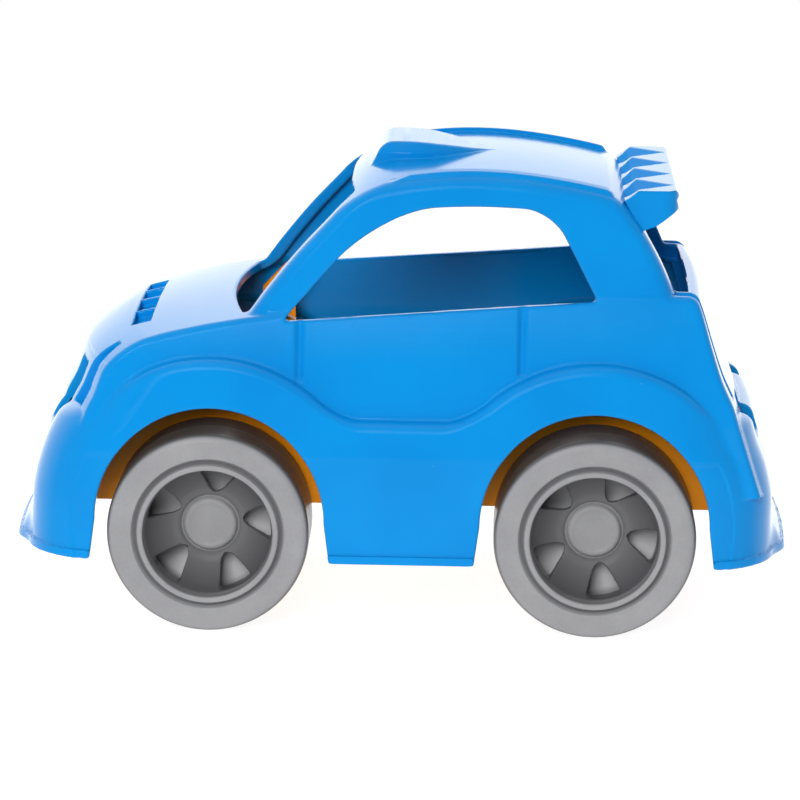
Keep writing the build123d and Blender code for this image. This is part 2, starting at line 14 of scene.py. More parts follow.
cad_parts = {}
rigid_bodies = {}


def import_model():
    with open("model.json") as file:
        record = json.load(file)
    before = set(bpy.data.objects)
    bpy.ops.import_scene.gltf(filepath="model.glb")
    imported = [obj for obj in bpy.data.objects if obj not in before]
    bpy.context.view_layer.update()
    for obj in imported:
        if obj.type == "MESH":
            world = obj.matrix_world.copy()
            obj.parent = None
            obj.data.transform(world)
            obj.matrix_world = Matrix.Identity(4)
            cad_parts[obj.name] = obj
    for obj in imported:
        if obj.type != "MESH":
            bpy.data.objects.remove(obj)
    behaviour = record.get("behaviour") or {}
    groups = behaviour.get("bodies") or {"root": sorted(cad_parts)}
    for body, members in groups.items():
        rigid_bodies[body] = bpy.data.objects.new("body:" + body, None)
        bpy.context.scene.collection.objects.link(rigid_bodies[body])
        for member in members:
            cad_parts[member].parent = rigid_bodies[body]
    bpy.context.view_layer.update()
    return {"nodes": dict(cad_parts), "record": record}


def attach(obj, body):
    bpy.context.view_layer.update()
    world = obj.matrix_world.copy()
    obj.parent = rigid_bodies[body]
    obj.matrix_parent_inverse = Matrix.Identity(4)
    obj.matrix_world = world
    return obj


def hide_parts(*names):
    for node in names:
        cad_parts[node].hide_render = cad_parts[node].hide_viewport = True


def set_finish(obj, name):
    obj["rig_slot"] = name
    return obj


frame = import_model()
nodes = frame["nodes"]

# %% [markdown]
# ## Why the mouldings are fields
# An injection-moulded body has one wall with soft edges everywhere: flares run into doors, doors into
# window posts, and every opening is rounded. Patches on a grid could make each panel, but they would
# have to be stitched along dozens of curved seams, and the soft edges would be lost there. So each
# moulding is written as a field: a number for every point in space, negative in the plastic and zero
# on its skin, about as large as the distance to the skin. Joining and cutting are then a minimum and
# a maximum, and a rounded edge is a rounded maximum. Everything is in millimetres until the mesh is
# made.

# %% Rounded joining and cutting


def meet(a, b, radius):
    """What a and b share, its edge rounded: the larger of the two, but inside the corner zone the
    distance to a circle of that radius."""
    corner = np.hypot(np.maximum(a + radius, 0), np.maximum(b + radius, 0))
    return np.minimum(np.maximum(a, b), -radius) + corner


def join(a, b, radius):
    """a and b together, the inner corner between them filled with that radius: meet() turned inside out."""
    return -meet(-a, -b, radius)


def cut(a, hole, radius):
    """a without the hole, the hole's rim rounded."""
    return meet(a, -hole, radius)


def soften(t):
    """0 below 0, 1 above 1, and 3t^2 - 2t^3 between, so it leaves and arrives level."""
    t = np.clip(t, 0, 1)
    return t * t * (3 - 2 * t)


def curve(u, knots):
    """A smooth line through the knots (u, value): on each stretch a cubic whose end slopes are the mean
    of the two neighbouring stretches' slopes, and straight beyond the ends."""
    at, value = np.array(sorted(knots), float).T
    slope = np.diff(value) / np.diff(at)
    slope = np.concatenate([slope[:1], (slope[1:] + slope[:-1]) / 2, slope[-1:]])
    held = np.clip(u, at[0], at[-1])
    i = np.clip(np.searchsorted(at, held) - 1, 0, len(at) - 2)
    width = at[i + 1] - at[i]
    t = (held - at[i]) / width
    inside = (
        value[i] * (1 + 2 * t) * (1 - t) ** 2
        + value[i + 1] * t * t * (3 - 2 * t)
        + width * t * (1 - t) * (slope[i] * (1 - t) - slope[i + 1] * t)
    )
    return inside + np.where(u < at[0], slope[0], slope[-1]) * (u - held)


def beyond(x, z, first, second):
    """Distance past the straight line from first to second, positive on its left hand side."""
    dx, dz = second[0] - first[0], second[1] - first[1]
    return ((z - first[1]) * dx - (x - first[0]) * dz) / math.hypot(dx, dz)


near_edge = float(meet(np.float64(-0.5), np.float64(-0.5), 2.0))
print("half a millimetre inside both faces of a corner of radius 2:", round(near_edge, 3))

# %% [markdown]
# ## From a field to a mesh
# The field is sampled on a grid of small cubes. Each cube that the skin passes through gets one
# vertex, at the middle of the points where the skin crosses its edges, and each grid line that the
# skin crosses gets one four-sided face between the four cubes around it. The vertices are then moved
# onto the skin along the field's slope, thinned where the skin is flat, and moved again. The slope is
# also the surface normal, so highlights run smoothly over the rounded edges.

# %% The mesher
FINE = 1.0
MM, MM_PER_METRE = 0.001, 1000
MOST_TRIANGLES = 190_000
SLAB, LEAST_SLOPE, NORMAL_REACH = 24, 0.05, 0.07
PROBE = np.array([(1, -1, -1), (-1, -1, 1), (-1, 1, -1), (1, 1, 1)], float)
CORNERS = np.array([(i, j, k) for i in (0, 1) for j in (0, 1) for k in (0, 1)])


def slope(field, points, reach=0.05):
    """The field's value and its slope vector at each point, from four samples at the corners of a
    tetrahedron of that reach: the slope is the sum of value times corner over 4 reach squared."""
    values = [field(*(points + reach * corner).T) for corner in PROBE]
    gradient = sum(v[:, None] * corner for v, corner in zip(values, PROBE)) / (4 * reach)
    return sum(values) / 4, gradient


def settle(field, points, most, rounds=3):
    """Each point moves along the slope by value / slope squared, which is Newton's step onto zero, and
    never further than most."""
    for _ in range(rounds):
        value, gradient = slope(field, points)
        shift = gradient * (value / np.maximum((gradient**2).sum(1), LEAST_SLOPE))[:, None]
        length = np.linalg.norm(shift, axis=1)
        points = points - shift * np.minimum(1, most / np.maximum(length, 1e-9))[:, None]
    return points


def sample(field, low, high, step, halved):
    """The field on a grid, worked out slab by slab to save memory. A halved one is worked out up to the
    middle plane y = 0 and mirrored."""
    x, y, z = (np.arange(low[i], high[i] + step, step) for i in range(3))
    if halved:
        y = np.arange(-math.ceil(-low[1] / step), 1) * step
    slabs = []
    for part in np.array_split(x, max(1, len(x) // SLAB)):
        grid = np.meshgrid(part, y, z, indexing="ij")
        slabs.append(field(*(a.ravel() for a in grid)).reshape(grid[0].shape))
    values = np.concatenate(slabs)
    if halved:
        values = np.concatenate([values, values[:, -2::-1]], axis=1)
    return values, np.array([x[0], y[0], z[0]])


def net(values, origin, step):
    """One vertex in each cube the skin crosses, at the mean of its edge crossings, and one face across
    each crossed grid line, turned so that it faces from negative to positive."""
    inside = values < 0
    shape = np.array(values.shape) - 1
    held = sum(
        inside[i:i + shape[0], j:j + shape[1], k:k + shape[2]].astype(np.int8)
        for i, j, k in CORNERS
    )
    active = (held > 0) & (held < 8)
    number = np.full(active.shape, -1)
    number[active] = np.arange(active.sum())
    cubes = np.argwhere(active)
    at = [values[tuple((cubes + corner).T)] for corner in CORNERS]
    total, crossings = np.zeros(cubes.shape), np.zeros(len(cubes))
    for a in range(8):
        for b in range(a + 1, 8):
            if np.abs(CORNERS[a] - CORNERS[b]).sum() == 1:
                crossed = (at[a] < 0) != (at[b] < 0)
                share = np.where(crossed, at[a] / np.where(crossed, at[a] - at[b], 1), 0)
                total += (CORNERS[a] + share[:, None] * (CORNERS[b] - CORNERS[a])) * crossed[:, None]
                crossings += crossed
    vertices = origin + step * (cubes + total / crossings[:, None])
    faces = []
    for axis in range(3):
        one, two, along = (np.eye(3, dtype=int)[(axis + turn) % 3] for turn in (1, 2, 0))
        near = inside[tuple(slice(0, n) for n in np.array(inside.shape) - along)]
        far = inside[tuple(slice(n, None) for n in along)]
        grid = np.argwhere(near != far)
        safe = ((grid * (one + two) >= (one + two)).all(1)) & ((grid * (one + two) < shape).all(1))
        grid = grid[safe]
        outward = near[tuple(grid.T)]
        ring = [number[tuple((grid - c).T)] for c in (one + two, two, 0 * one, one)]
        quads = np.stack(ring, axis=1)
        quads[~outward] = quads[~outward][:, ::-1]
        faces.append(quads)
    return vertices, np.concatenate(faces)


def mould(name, field, low, high, step, halved=False):
    """The finished object: grid, skin, thinning, normals, and its place in the mesh in metres."""
    step = step * FINE
    values, origin = sample(field, low, high, step, halved)
    points, faces = net(values, origin, step)
    points = settle(field, points, step / 2)
    mesh = bpy.data.meshes.new(name)
    mesh.from_pydata(points * MM, [], faces)
    mesh.update()
    piece = bpy.data.objects.new(name, mesh)
    bpy.context.scene.collection.objects.link(piece)
    triangles = 2 * len(faces)
    if triangles > MOST_TRIANGLES:
        thinner = piece.modifiers.new("thinner", "DECIMATE")
        thinner.ratio = MOST_TRIANGLES / triangles
        graph = bpy.context.evaluated_depsgraph_get()
        thinned = bpy.data.meshes.new_from_object(piece.evaluated_get(graph))
        piece.modifiers.clear()
        piece.data = thinned
        mesh = thinned
        mesh.name = name
        flat = np.empty(3 * len(mesh.vertices))
        mesh.vertices.foreach_get("co", flat)
        points = settle(field, flat.reshape(-1, 3) * MM_PER_METRE, step / 3, rounds=2)
        mesh.vertices.foreach_set("co", (points * MM).ravel())
        mesh.update()
    normals = slope(field, points, NORMAL_REACH)[1]
    normals /= np.maximum(np.linalg.norm(normals, axis=1), 1e-9)[:, None]
    mesh.polygons.foreach_set("use_smooth", np.ones(len(mesh.polygons), bool))
    mesh.normals_split_custom_set_from_vertices([tuple(n) for n in normals])
    made = sum(len(p.vertices) - 2 for p in mesh.polygons)
    print(name, "vertices", len(mesh.vertices), "triangles", made)
    return piece


# %% [markdown]
# ## The body's three forms
# Seen from the side the car is three soft blocks. The lower one is bumpers, sills and round flares
# over the wheels, and it is nearly as wide as the car. The upper one is bonnet, doors and tail, set in
# behind a ledge and leaning inwards as it rises; its bonnet bows back towards the sides. The third is
# the cabin with raked posts and a gently crowned roof. Each side of a form is one smooth curve. A
# sloping side is measured level or upright, so it is then multiplied by the cosine of its slope to
# turn it into a distance.

# %% Lower form
WHEELS = {"front": -29.3, "rear": 30.1}
WHEEL_Z = 15.55
ARCHES = ((-29.1, 17.4), (30.0, 17.4))
ARCH_RADIUS, FLARE_RADIUS, LEDGE_Z = 17.6, 25.1, 33.3
SILL_Z, LIP_TOP, LIP_PROUD = 11.2, 12.6, 0.4
HALF_WIDTH, PLAN_CORNER, END_BOW = 31.1, 11.0, 0.0022
LEAN, LEAN_FROM = 0.13, 28
STEP_IN, STEP_RADIUS, STEP_TOP = 0.25, 21.6, 28.5
LEDGE_CORNER, LEDGE_EDGE = 3.0, 1.6
SPLITTER_HALF, SPLITTER_FADE = 16, 6
WALL = 1.8
FRONT_REACH = [(10, 58.6), (16, 58.35), (21.5, 57.9), (27.6, 56.2), (31, 54.6), (34, 52.5)]
REAR_REACH = [(10, 58.7), (16.6, 58.6), (21, 58.5), (25.8, 57.4), (29.6, 55.9), (34, 54.6)]
SPLITTER = [(11.2, 1.75), (12, 1.7), (13.5, 1.2), (16, 0.05), (17, 0)]


def lower_form(x, w, z):
    """A rounded rectangle in plan whose reach changes with height, cut off above by circles round the
    wheels and by the ledge between them. Low down a splitter stands out in the middle of each end. The
    bumpers stand in by a small step round the arches, and the sides lean in over the wheels."""
    middle = 1 - soften((w - SPLITTER_HALF) / SPLITTER_FADE)
    splitter = curve(np.clip(z, SPLITTER[0][0], SPLITTER[-1][0]), SPLITTER) * middle
    bow = END_BOW * w * w
    front = -x - (curve(z, FRONT_REACH) + splitter - bow)
    rear = x - (curve(z, REAR_REACH) + splitter - bow)
    rings = [np.hypot(x - cx, z - cz) for cx, cz in ARCHES]
    nearest = np.minimum(*rings)
    outer_side = (x < ARCHES[0][0]) | (x > ARCHES[1][0])
    step = STEP_IN * soften((STEP_RADIUS - nearest) / 0.5) * soften((STEP_TOP - z) / 1.5) * outer_side
    lean = LEAN * np.maximum(z - LEAN_FROM, 0)
    side = w - (HALF_WIDTH - lean - step)
    plan = meet(np.maximum(front, rear), side, PLAN_CORNER)
    lip = np.maximum(plan - LIP_PROUD, z - LIP_TOP)
    over = join(nearest - FLARE_RADIUS, z - LEDGE_Z, LEDGE_CORNER)
    return np.minimum(meet(plan, over, LEDGE_EDGE), lip)


print("the flares end", round(ARCHES[0][1] + FLARE_RADIUS, 1), "mm above the ground")


# %% Upper form
BELT = [(-52, 41.0), (-50, 42.3), (-46.4, 43.9), (-41.5, 45.3), (-32.2, 47.1), (-24.7, 48.2), (-15, 49.6),
        (18.3, 51.5), (30.1, 52.7), (43.8, 52.6)]
NOSE = [(28, 54.4), (31.4, 54.3), (33.5, 53.7), (36.4, 52.2), (39.6, 50.9), (42, 49.5), (45, 46.8)]
TAIL = [(33, 53.0), (36, 52.0), (38.5, 50.8), (39.8, 50.2), (44.6, 48.5), (49.9, 46.8), (52, 46.0)]
DOOR_HALF, DOOR_FOOT, DOOR_LEAN, DOOR_CURVE = 28.35, 33, 0.085, 0.0045
BOW_HALF, NOSE_SWEEP, TAIL_SWEEP, UPPER_FOOT = 26, 4.7, 1.0, 22


def upper_form(x, w, z):
    """Doors that lean in as height times DOOR_LEAN plus its square times DOOR_CURVE, a top that follows
    the belt line with a slight crown, and a nose and tail that bow back with the square of the distance
    from the middle."""
    bow = (w / BOW_HALF) ** 2
    height = np.maximum(z - DOOR_FOOT, 0)
    side = (w - (DOOR_HALF - DOOR_LEAN * height - DOOR_CURVE * height**2)) * 0.98
    swept = x - NOSE_SWEEP * bow * np.clip((-25 - x) / 20, 0, 1)
    crown = 0.3 + 0.4 * np.clip((5 - x) / 25, 0, 1)
    top = (z - (curve(swept, BELT) + crown * (1 - bow))) * 0.98
    nose = (-x - (curve(z, NOSE) - NOSE_SWEEP * bow)) * np.where(z > 41, 0.65, 0.85)
    tail = (x - (curve(z, TAIL) - TAIL_SWEEP * bow)) * 0.93
    form = meet(meet(top, nose, 2.0), tail, 1.2)
    return np.maximum(meet(form, side, 0.9), UPPER_FOOT - z)


print("doors are", 2 * DOOR_HALF, "mm apart at the ledge")


# %% Cabin
ROOF = [(-4.8, 68.3), (-0.5, 69.3), (7.1, 70.2), (14.7, 70.2), (22.3, 69.4), (29.9, 68.0), (33.3, 67.1)]
SCREEN = [(47.7, -23.7), (52.6, -20.2), (58.4, -15.6), (63.4, -11.1), (66, -8.8)]
BACK = [(52.6, 41.6), (58, 39.1), (62.6, 36.4), (66.8, 33.4)]
CABIN_HALF, CABIN_FOOT, CABIN_LEAN, CABIN_UNDER = 25.0, 51, 16, 30
ROOF_CROWN, HEADER_CROWN = 0.8, 1.3
SCREEN_BOW, SCREEN_BOW_LOST, BACK_BOW = 3.2, 2.2, 0.8


def crowned_roof(x, w):
    """Roof height: the side outline plus a crown that falls with the square of the width. The crown is
    0.8 high, and rises to 2.1 at the windscreen header."""
    crown = ROOF_CROWN + HEADER_CROWN * np.clip((4 - x) / 10, 0, 1)
    return curve(x, ROOF) + crown * (1 - (w / 24) ** 2)


def cabin_form(x, w, z):
    """Roof, raked screen and rear as three curves, sides that lean in 1 in 16, all with soft edges. The
    screen bows forward in the middle, by 3.2 at its foot and 1 at its head."""
    bow = SCREEN_BOW - SCREEN_BOW_LOST * np.clip((z - 48) / 19, 0, 1)
    roof = z - crowned_roof(x, w)
    screen = (curve(z, SCREEN) - bow * (1 - (w / 25) ** 2) - x) * 0.76
    back = (x - curve(z, BACK) - BACK_BOW * (1 - (w / 23) ** 2)) * 0.86
    side = w - (CABIN_HALF - (z - CABIN_FOOT) / CABIN_LEAN)
    ends = meet(meet(roof, screen, 3.0), back, 1.2)
    return np.maximum(meet(ends, side, 1.9), CABIN_UNDER - z)


print("the roof is", round(float(crowned_roof(np.float64(10), 0)), 1), "mm high in the middle")


# %% [markdown]
# ## What stands on the roof
# Two thin rails run along the roof's edges, and a teardrop scoop sits over the windscreen header. The
# scoop has an upright lower wall and a leaning upper wall with a crease between, and its tail sinks
# into the roof.

# %% Scoop and rails
SCOOP_TOP = [(-6, 72.4), (-3, 73.1), (1, 73.2), (6, 72.6), (11, 71.6), (16, 70.5)]
SCOOP_HALF = [(-8, 5.6), (-5, 7.6), (-1, 8.6), (4, 8.0), (8.6, 5.4), (11.8, 2.4), (13.9, 0.0)]
SCOOP_CREASE = [(-8, 71.3), (0, 71.6), (15, 70.9)]
SCOOP_FRONT, SCOOP_FRONT_TOP, SCOOP_UNDER = 4.0, 72.6, 62
RAIL_X, RAIL_W, RAIL_HALF, RAIL_HIGH, RAIL_RAMP, RAIL_UNDER = (-3.2, 32.0), 21.7, 0.9, 1.1, 4, 66


def scoop_form(x, w, z):
    """A plan outline whose half width is a curve along the car, an upright wall, a wall leaning in by
    about 30 degrees above the crease, a sloped front and a falling top."""
    half = curve(x, SCOOP_HALF)
    crease = curve(x, SCOOP_CREASE)
    upright = (w - half) * 0.9
    leaning = (w - half) * 0.8 + (z - crease) * 0.5
    front = (-x - SCOOP_FRONT) * 0.9 + (z - SCOOP_FRONT_TOP) * 0.42
    top = z - curve(x, SCOOP_TOP)
    return np.maximum(meet(meet(top, front, 1.2), meet(upright, leaning, 0.15), 0.35), SCOOP_UNDER - z)


def rail_form(x, w, z):
    """A low rib that follows the roof, ramping up over its first RAIL_RAMP and cut at a slant behind."""
    rise = RAIL_HIGH * np.clip((x - RAIL_X[0]) / RAIL_RAMP, 0, 1)
    top = z - (curve(x, ROOF) + rise - 0.18 * (w - RAIL_W + 1))
    ends = np.maximum((x - RAIL_X[1]) * 0.75 + (z - crowned_roof(x, w)) * 0.66, RAIL_X[0] - x)
    return np.maximum(meet(meet(top, np.abs(w - RAIL_W) - RAIL_HALF, 0.3), ends, 0.2), RAIL_UNDER - z)


print("the scoop stands", round(max(z for x, z in SCOOP_TOP), 1), "mm above the ground")


# %% [markdown]
# ## Openings
# Windows, wheel arches and light openings go right through the wall. The side window is three straight
# lines and an arched head, with very different corner radii. The slots beside the nose and the tail and
# the four bonnet vents are only sunk into the skin: what is removed is the part of a mask that lies less
# than the depth below the outer surface. The door seams have no edge to cut, so they are soft channels,
# made by lowering the skin itself.

# %% Openings and sunk details
SEAMS = ((-15.6, 39.6, 48.3), (18.4, 41.0, 51.0))
SEAM_DEPTH, SEAM_REACH = 0.6, 0.95
LIGHT_W, LIGHT_HALF, LIGHT_FOOT = 14.75, 3.3, 29.4
LIGHT_TOP = {"front": 39.2, "rear": 35.6}
BOSSES = ((-46.0, 7.0), (50.0, 8.2))
BOSS_RADIUS, SCREW_RADIUS, FLOOR_TOP, SCREW_DEPTH = 2.8, 1.05, 19.0, 10
WINDOW_FRONT, WINDOW_REAR = ((-18.1, 48.1), (-6.0, 62.1)), ((24.3, 62.1), (29.8, 51.6))
WINDOW_SILL, WINDOW_HEAD, WINDOW_ARCHING, WINDOW_MIDDLE = ((24.2, 51.2), (-15.7, 48.1)), 65.85, 0.0055, 12
SCREEN_HALF, SCREEN_CLOSING, SCREEN_HEADER = 21.7, 0.082, 66.9
SCREEN_FOOT, SCREEN_FOOT_BOW = -26.7, 0.005
BACK_HALF, BACK_HEADER, BACK_FOOT, TAIL_EDGE = 20.5, 62.0, 50.4, 52.9
ARCH_FLARE = 0.13
NOSE_SLOT_W, NOSE_SLOT_Z, NOSE_SLOT_DEPTH = 22.4, (33.8, 43.4), 1.5
NOSE_SLOT_HALF = [(33.8, 2.2), (38.0, 2.0), (41.0, 1.5), (43.4, 0.7)]
VENT_X, VENT_HALF_X, VENT_PITCH, VENT_HALF_W, VENT_DEPTH = -40.7, 1.4, 8.5, 3.85, 1.3
TAIL_SLOT_W, TAIL_SLOT_HALF_W, TAIL_SLOT_Z, TAIL_SLOT_HALF_Z, TAIL_SLOT_DEPTH = 22.5, 1.2, 44.5, 8, 1.4


def side_window(x, z):
    """Negative inside the window: front post line, arched head, rear post line and rising sill."""
    front = beyond(x, z, *WINDOW_FRONT)
    head = z - (WINDOW_HEAD - WINDOW_ARCHING * (x - WINDOW_MIDDLE) ** 2)
    rear = beyond(x, z, *WINDOW_REAR)
    sill = beyond(x, z, *WINDOW_SILL)
    return meet(meet(meet(front, head, 6.0), rear, 3.5), sill, 0.8)


def windscreen(x, w, z):
    """Negative inside the windscreen: sides that close in upwards, a rounded header, and a foot that
    follows the bonnet's bowed rear edge and goes right through its skin."""
    sides = w - (SCREEN_HALF - (z - 49) * SCREEN_CLOSING)
    foot = SCREEN_FOOT + SCREEN_FOOT_BOW * w * w - x
    reach = np.maximum(x + 2, 44 - z)
    return np.maximum(meet(meet(sides, z - SCREEN_HEADER, 3.0), foot, 1.2), reach)


def rear_window(x, w, z):
    """Negative inside the rear window. Below the tail's top edge it stops short of the tail's wall."""
    high = meet(meet(w - BACK_HALF, z - BACK_HEADER, 2.0), TAIL_EDGE - z, 0.3)
    tail_wall = curve(z, TAIL) - 0.001 * w * w - WALL
    low = np.maximum(np.maximum(w - BACK_HALF, BACK_FOOT - z), x - tail_wall)
    return np.maximum(np.minimum(high, np.maximum(low, z - 56)), 28 - x)


def arch(x, z):
    """Negative inside either wheel arch: a circle above its centre, and slightly flared legs below."""
    cx = np.where(x < 0, ARCHES[0][0], ARCHES[1][0])
    cz = ARCHES[0][1]
    leg = np.abs(x - cx) - (ARCH_RADIUS + (cz - z) * ARCH_FLARE)
    return np.where(z > cz, np.hypot(x - cx, z - cz) - ARCH_RADIUS, leg)


def light_opening(x, w, z):
    """Negative inside a light's opening: a rounded rectangle seen from the end, taller at the nose."""
    top = np.where(x < 0, LIGHT_TOP["front"], LIGHT_TOP["rear"])
    across = np.abs(w - LIGHT_W) - LIGHT_HALF
    upright = np.abs(z - (LIGHT_FOOT + top) / 2) - (top - LIGHT_FOOT) / 2
    return np.maximum(meet(across, upright, 0.6), 44 - np.abs(x))


def seam_depth(x, w, z):
    """Depth of the soft channels at the doors' ends: SEAM_DEPTH along a seam, nothing SEAM_REACH away."""
    depth = 0
    for at, foot, head in SEAMS:
        away = np.hypot(x - at, np.maximum(np.maximum(foot - z, z - head), 0))
        depth = depth + SEAM_DEPTH * (1 - soften(away / SEAM_REACH)) * (w > 20)
    return depth


def sunk(x, w, z):
    """(mask, depth) pairs: nose slots are wedges that widen and deepen downwards, bonnet vents are four
    slots side by side, tail slots are narrow and upright."""
    foot, head = NOSE_SLOT_Z
    wedge = np.maximum(np.abs(w - NOSE_SLOT_W) - curve(z, NOSE_SLOT_HALF), np.maximum(foot - z, z - head))
    yield np.maximum(wedge, x + 40), NOSE_SLOT_DEPTH * np.clip((44.3 - z) / 3, 0, 1)
    across = np.abs(np.abs(w - VENT_PITCH) - VENT_PITCH / 2) - VENT_HALF_W
    yield np.maximum(np.maximum(across, np.abs(x - VENT_X) - VENT_HALF_X), 40 - z), VENT_DEPTH
    tail = np.maximum(np.abs(w - TAIL_SLOT_W) - TAIL_SLOT_HALF_W, np.abs(z - TAIL_SLOT_Z) - TAIL_SLOT_HALF_Z)
    yield np.maximum(tail, 40 - x), TAIL_SLOT_DEPTH


print("door seams at", [at for at, foot, head in SEAMS], "mm along the car")


# %% The whole body as one field


def body_form(x, y, z):
    """Forms joined, scoop and rails added, engraved, hollowed to one wall, cut, bosses added inside.
    Behind every sunk detail the hollow steps back by the detail's depth, so the wall stays whole."""
    w = np.abs(y)
    forms = join(join(lower_form(x, w, z), upper_form(x, w, z), 0.35), cabin_form(x, w, z), 0.4)
    rail = np.maximum(rail_form(x, w, z), forms - RAIL_HIGH)
    outer = join(join(forms, scoop_form(x, w, z), 0.2), rail, 0.2)
    shell, hollow = outer + seam_depth(x, w, z), forms + WALL
    for mask, depth in sunk(x, w, z):
        shell = cut(shell, np.maximum(mask, -(outer + depth)), 0.3)
        hollow = hollow + depth * np.clip((WALL - mask) / 0.6, 0, 1)
    shell = np.maximum(shell, -hollow)
    shell = meet(shell, SILL_Z - z, 0.3)
    shell = cut(shell, np.maximum(side_window(x, z), 20 - w), 0.4)
    shell = cut(shell, windscreen(x, w, z), 0.5)
    shell = cut(shell, rear_window(x, w, z), 0.4)
    shell = cut(shell, np.maximum(arch(x, z), 17 - w), 0.4)
    shell = cut(shell, light_opening(x, w, z), 0.35)
    for at, out in BOSSES:
        radius = np.hypot(x - at, w - out)
        boss = np.maximum(np.maximum(radius - BOSS_RADIUS, FLOOR_TOP - z), forms + 0.6)
        shell = np.minimum(shell, boss)
        shell = np.maximum(shell, -np.maximum(radius - SCREW_RADIUS, z - FLOOR_TOP - SCREW_DEPTH))
    return shell


body = mould("body_moulding", body_form, (-61.5, -32.5, 10.5), (61.5, 0, 75), 0.35, halved=True)
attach(body, "car")
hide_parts("body_shell")
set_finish(body, "blue_plastic")

# %% [markdown]
# ## The roof spoiler
# A separate moulding pushed onto the end of the roof: a thin bracket with five wedge-shaped fins.
# Between them run V grooves that are deep and wide in front and die out at the rear edge.

# %% Spoiler
SPOILER_SIDE = [(33.5, 66.9), (34.4, 67.4), (35.7, 68.5), (41.5, 68.5), (42.1, 67.6), (41.6, 67.0),
                (42.0, 65.6), (38.5, 63.0), (36.3, 62.2)]
SPOILER_HALF, SPOILER_REAR, SPOILER_TOP, SPOILER_CORNER = 22.4, 42.0, 68.5, 2.5
GROOVE_PITCH, GROOVE_DEPTH, GROOVE_END, GROOVE_FADE = 10.8, 3.8, 41.2, 6


def polygon(x, z, corners):
    """Distance to a closed outline: the shortest distance to its edges, negative where the outline's
    edges are crossed an odd number of times on the way out."""
    far = np.full(x.shape, 1e9)
    inside = np.zeros(x.shape, bool)
    for (ax, az), (bx, bz) in zip(corners, corners[1:] + corners[:1]):
        dx, dz = bx - ax, bz - az
        t = np.clip(((x - ax) * dx + (z - az) * dz) / (dx * dx + dz * dz), 0, 1)
        far = np.minimum(far, np.hypot(x - ax - t * dx, z - az - t * dz))
        if dz:
            inside ^= ((az > z) != (bz > z)) & (x < dx * (z - az) / dz + ax)
    return np.where(inside, -far, far)


def spoiler_form(x, y, z):
    """The side outline carried across with rounded rear corners, less four V grooves. A groove's walls
    rise 2 depths in a pitch everywhere, and its floor climbs to the rear, so the fins between start as
    sharp crests and widen to flat tops."""
    corners = meet(x - SPOILER_REAR, np.abs(y) - SPOILER_HALF, SPOILER_CORNER)
    plate = np.maximum(polygon(x, z, SPOILER_SIDE), corners)
    middle = (np.clip(np.floor(y / GROOVE_PITCH), -2, 1) + 0.5) * GROOVE_PITCH
    fade = np.clip((GROOVE_END - x) / GROOVE_FADE, 0, 1)
    wall = 2 * GROOVE_DEPTH / GROOVE_PITCH
    groove = (SPOILER_TOP - GROOVE_DEPTH * fade + wall * np.abs(y - middle) - z) * 0.8
    return np.maximum(plate, -groove)


spoiler = mould("spoiler_moulding", spoiler_form, (32.5, -23, 61.5), (43, 23, 69.8), 0.25)
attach(spoiler, "car")
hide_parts("roof_spoiler")
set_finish(spoiler, "blue_plastic")

# %% [markdown]
# ## The wheels
# Each wheel is two mouldings pushed together, and the outer one carries the looks: a plain tyre wall, a
# thin groove, a raised rim lip, five dished spokes and a hub cap. It is a turned profile with five
# windows cut through. A plain spin would need the windows stitched in, so it is a field as well.

# %% Wheel faces
WHEEL_RADIUS, FACE_Y, SPLIT_Y, TYRE_EDGE = 15.55, 31.0, 24.5, 1.3
FACE = [(0, 24.6), (3.0, 24.6), (3.5, 24.75), (4.0, 24.5), (4.4, 23.8), (4.8, 24.3), (6.0, 25.0), (8.0, 26.8),
        (9.5, 28.7), (9.9, 29.6)]
WELL_RADIUS, RIM_RADIUS, RIM_HALF, RIM_HIGH = 9.95, 10.4, 0.6, 0.3
RING_RADIUS, RING_HALF = 11.3, 0.42
HUB_RADIUS, HOLLOW_RADIUS, HOLLOW_Y, HOLLOW_RISE = 3.4, 14.0, 22.3, 4.0
WINDOW_ANGLES, WINDOWS = {"front": 81.0, "rear": 64.0}, 5
WINDOW_INNER, WINDOW_OUTER, WINDOW_HALF, WINDOW_SPREAD = 4.95, 9.65, 0.93, 0.52
BORE_RADIUS, BORE_Y = 1.3, 23.5


